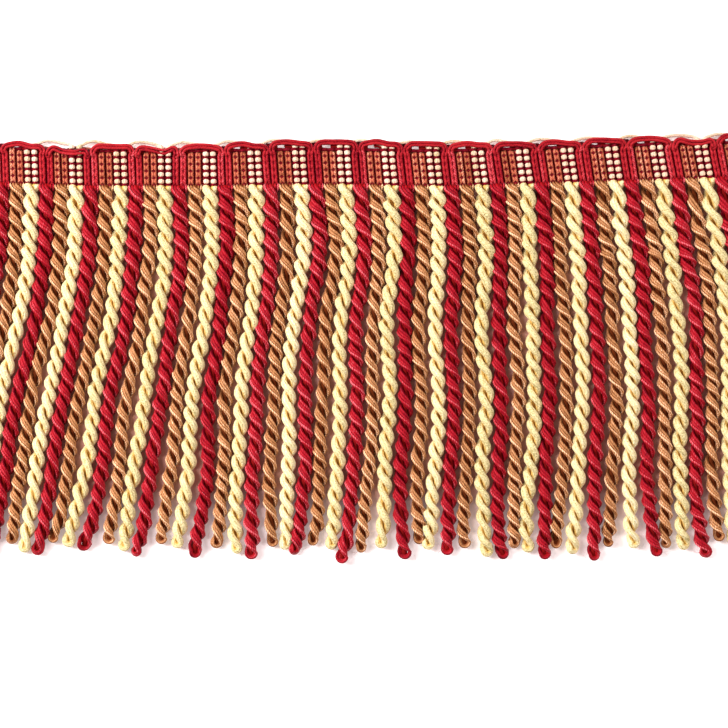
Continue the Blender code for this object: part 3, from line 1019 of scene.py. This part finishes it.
def floor_finish(paper):
    """Pale paper with painted light: it glows a little, but not under the fringe, where it has
    painted shade and painted reflected colour from the cords.
    """
    finish = Finish("floor_paper", 0.9)
    split = finish.node("SeparateXYZ", None, {0: finish.place()})
    y = Value(finish, split.outputs[1])
    spread = finish.call("ABSOLUTE", split.outputs[0]) + y * FLOOR_SPLAY
    between = (finish.span(spread, *FLOOR_SIDE, 1.0, 0.0) * finish.span(y, *FLOOR_FOOT)
               * finish.span(y, *FLOOR_HEAD, 1.0, 0.0))
    finish.colour(finish.mix(between, rgba(paper), rgba(FLOOR_SHADE_COLOUR)))
    glow = finish.mix(between, rgba(paper), rgba((0.0, 0.0, 0.0)))
    finish.put(finish.shader.inputs["Emission Color"], glow)
    finish.shader.inputs["Emission Strength"].default_value = FLOOR_GLOW
    return finish.material


def add_floor(paper):
    bm = bmesh.new()
    bmesh.ops.create_grid(bm, x_segments=2, y_segments=2, size=FLOOR_HALF)
    mesh = bpy.data.meshes.new("floor")
    bm.to_mesh(mesh)
    bm.free()
    mesh.materials.append(floor_finish(paper))
    floor = add_to_scene("floor", mesh)


def add_light(name, place, side, power):
    """A square light, turned to the fringe."""
    data = bpy.data.lights.new(name, "AREA")
    data.shape = "SQUARE"
    data.size = side
    data.energy = power
    light = add_to_scene(name, data)
    light.location = place
    aim = Vector(STUDIO_AIM) - Vector(place)
    light.rotation_euler = aim.to_track_quat("-Z", "Y").to_euler()


def add_world():
    world = bpy.data.worlds.new("studio")
    world.use_nodes = True
    background = world.node_tree.nodes["Background"]
    background.inputs["Color"].default_value = rgba(WORLD_COLOUR)
    background.inputs["Strength"].default_value = WORLD_STRENGTH
    bpy.context.scene.world = world


# Settings and steps, as the add-on shows them

class FringeSettings(bpy.types.PropertyGroup):
    """Sizes and colours of the fringe that a user would change"""

    crimson: FloatVectorProperty(
        name="Crimson", description="Colour of the crimson yarn", subtype="COLOR",
        default=(0.35, 0.006, 0.014), min=0.0, max=1.0)
    bronze: FloatVectorProperty(
        name="Bronze", description="Colour of the bronze yarn", subtype="COLOR",
        default=(0.45, 0.185, 0.07), min=0.0, max=1.0)
    cream: FloatVectorProperty(
        name="Cream", description="Colour of the cream yarn", subtype="COLOR",
        default=(0.87, 0.72, 0.38), min=0.0, max=1.0)
    warp: FloatVectorProperty(
        name="Warp", description="Colour of the warp threads", subtype="COLOR",
        default=(0.16, 0.004, 0.012), min=0.0, max=1.0)
    floor: FloatVectorProperty(
        name="Floor", description="Colour of the floor", subtype="COLOR",
        default=(0.95, 0.86, 0.86), min=0.0, max=1.0)
    fibre_relief: FloatProperty(
        name="Fibre relief", description="Depth of the fibres in the yarn", unit="LENGTH",
        default=0.2 * MM, min=0.0)
    key_strength: FloatProperty(
        name="Key light", description="Power of the large soft light", unit="POWER",
        default=17.0, min=0.0)


class FRINGE_OT_stage(bpy.types.Operator):
    """Set the camera straight above the fringe, the floor and the lights"""

    bl_idname = "fringe.stage"
    bl_label = "Camera, floor and lights"

    def execute(self, context):
        given = settings()
        add_camera()
        add_floor(given.floor)
        for name, (place, side, share) in STUDIO_LIGHTS.items():
            add_light(name, place, side, given.key_strength * share)
        add_world()
        context.scene.view_settings.view_transform = "Standard"
        return {"FINISHED"}


class FRINGE_OT_cords(bpy.types.Operator):
    """Twist the hanging cords of all three colours"""

    bl_idname = "fringe.cords"
    bl_label = "Hanging cords"

    def execute(self, context):
        for colour, finish in yarn_finishes("cord").items():
            build_cords(colour, finish)
        return {"FINISHED"}


class FRINGE_OT_heading(bpy.types.Operator):
    """Run the legs up the heading and over its top edge"""

    bl_idname = "fringe.heading"
    bl_label = "Heading legs and loops"

    def execute(self, context):
        for colour, finish in yarn_finishes("heading").items():
            build_heading(colour, finish)
        return {"FINISHED"}


class FRINGE_OT_warp(bpy.types.Operator):
    """Weave the warp ground and its stitches over the legs"""

    bl_idname = "fringe.warp"
    bl_label = "Warp ground and stitches"

    def execute(self, context):
        given = settings()
        warp = tuple(given.warp)
        build_warp_band(band_finish(shaded(warp, 5.5), shaded(warp, 3.0)))
        # The thread's colours: its painted shade, then its dark, middle and light fibres
        tones = [shaded(warp, factor) for factor in (0.2, 0.3, 0.8, 1.6)]
        build_warp_stitches(yarn_finish(
            "warp_thread", tones, 0.6, TWISTS["thread"], given.fibre_relief))
        return {"FINISHED"}


class FRINGE_PT_panel(bpy.types.Panel):
    """Lists the fringe's settings and steps"""

    bl_idname = "FRINGE_PT_panel"
    bl_label = "Bullion fringe"
    bl_space_type = "VIEW_3D"
    bl_region_type = "UI"
    bl_category = "Fringe"

    def draw(self, context):
        given = context.scene.fringe
        for name in FringeSettings.__annotations__:
            self.layout.prop(given, name)
        for step in STEPS:
            self.layout.operator(step.bl_idname)


STEPS = (FRINGE_OT_stage, FRINGE_OT_cords, FRINGE_OT_heading, FRINGE_OT_warp)
CLASSES = (FringeSettings, *STEPS, FRINGE_PT_panel)


def register():
    for kind in CLASSES:
        bpy.utils.register_class(kind)
    bpy.types.Scene.fringe = PointerProperty(type=FringeSettings)


def unregister():
    del bpy.types.Scene.fringe
    for kind in reversed(CLASSES):
        bpy.utils.unregister_class(kind)


def main():
    register()
    bpy.ops.fringe.stage()
    bpy.ops.fringe.cords()
    bpy.ops.fringe.heading()
    bpy.ops.fringe.warp()


if __name__ == "__main__":
    main()
